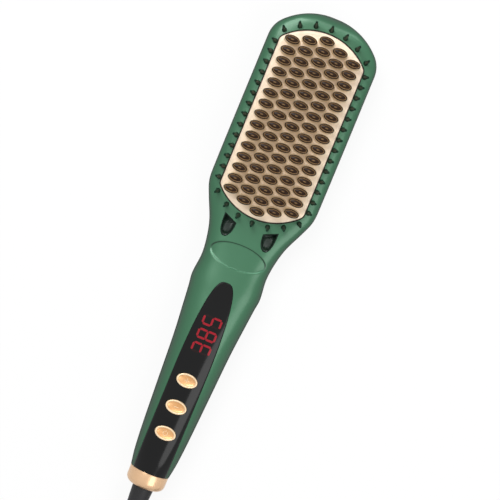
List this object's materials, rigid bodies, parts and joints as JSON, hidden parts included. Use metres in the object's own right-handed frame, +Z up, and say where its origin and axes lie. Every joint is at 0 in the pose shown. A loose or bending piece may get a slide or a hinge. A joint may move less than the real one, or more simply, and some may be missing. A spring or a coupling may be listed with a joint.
{
  "type": "hair straightener brush",
  "caption": "Paddle-shaped heated hair straightening brush with metal teeth, guard pins, display panel, push buttons and a swivelling mains cord with plug.",
  "frame": {"origin": "on the surface that the brush lies on, under the middle of its length from the tip of the head to the end of the cuff", "axes": "+Y along the handle towards the tip of the head, +Z up out of the bristle side, +X to the right when the bristle side faces the viewer and the head is up"},
  "size_m": [0.0955, 0.4602, 0.0357],
  "materials": {
    "housing_green": "glossy metallic green paint on moulded plastic",
    "cuff_gold": "metallic pink gold plating on plastic",
    "panel_black": "high gloss black",
    "display_red": "glowing red bars",
    "button_gold": "satin orange gold",
    "plate_gold": "satin gold coating",
    "cap_brown": "satin heat resistant plastic",
    "pin_dark": "satin",
    "port_dark": "glossy",
    "seal_rubber": "matt silicone",
    "heat_plastic": "matt heat resistant plastic",
    "ceramic": "matt white ceramic",
    "mica": "matt",
    "steel": "plain zinc plated",
    "shield_aluminium": "plain sheet",
    "copper": "plain",
    "board_green": "satin laminate",
    "part_black": "matt",
    "capacitor_yellow": "matt",
    "swivel_plastic": "satin slippery plastic",
    "cord_black": "matt flexible sleeve",
    "plug_black": "satin",
    "pin_nickel": "nickel plated",
    "wire_red": "silicone sleeve",
    "wire_white": "silicone sleeve",
    "wire_blue": "silicone sleeve",
    "wire_brown": "silicone sleeve"
  },
  "bodies": {
    "brush": {"front_housing": "housing_green", "rear_housing": "housing_green", "end_cuff": "cuff_gold", "control_panel": "panel_black", "guard_pins": "pin_dark", "ion_port_left": "port_dark", "ion_port_right": "port_dark", "heating_plate": "plate_gold", "tooth_caps": "cap_brown", "plate_seal": "seal_rubber", "plate_frame": "heat_plastic", "frame_screws": "steel", "ceramic_heaters": "ceramic", "mica_sheet": "mica", "heater_clamp": "shield_aluminium", "clamp_screws": "steel", "thermal_fuse": "ceramic", "temperature_sensor": "part_black", "heat_shield": "shield_aluminium", "main_board": "board_green", "board_screws": "steel", "display_module": "part_black", "display_segments": "display_red", "tact_switches": "part_black", "controller_chip": "part_black", "power_capacitor": "capacitor_yellow", "triac": "part_black", "line_fuse": "ceramic", "ion_module": "part_black", "ion_needles": "steel", "swivel_socket": "swivel_plastic", "contact_block": "swivel_plastic", "contact_springs": "copper", "heater_leads": "wire_red", "sensor_leads": "wire_white", "ion_leads": "wire_blue", "mains_leads": "wire_brown", "housing_screws": "steel", "screw_plugs": "housing_green", "cord_lead": "cord_black", "cord_coil": "cord_black", "cord_tail": "cord_black", "cord_tie": "plug_black", "plug_body": "plug_black", "plug_pins": "pin_nickel"},
    "temp_up_key": {"temp_up_button": "button_gold", "temp_up_plunger": "part_black"},
    "temp_down_key": {"temp_down_button": "button_gold", "temp_down_plunger": "part_black"},
    "power_key": {"power_button": "button_gold", "power_plunger": "part_black"},
    "cord_swivel": {"swivel_spindle": "swivel_plastic", "slip_rings": "copper", "cord_boot": "cord_black"}
  },
  "joints": [
    {"name": "temp_up_key_press", "type": "slide", "parent": "brush", "child": "temp_up_key", "axis": [0, 0, -1], "range_m": [0, 0.0005], "stiffness_N_per_m": 3000},
    {"name": "temp_down_key_press", "type": "slide", "parent": "brush", "child": "temp_down_key", "axis": [0, 0, -1], "range_m": [0, 0.0005], "stiffness_N_per_m": 3000},
    {"name": "power_key_press", "type": "slide", "parent": "brush", "child": "power_key", "axis": [0, 0, -1], "range_m": [0, 0.0005], "stiffness_N_per_m": 3000},
    {"name": "cord_turn", "type": "hinge", "parent": "brush", "child": "cord_swivel", "pos_m": [0, -0.14, 0.0146], "axis": [0, 1, 0], "continuous": true}
  ]
}
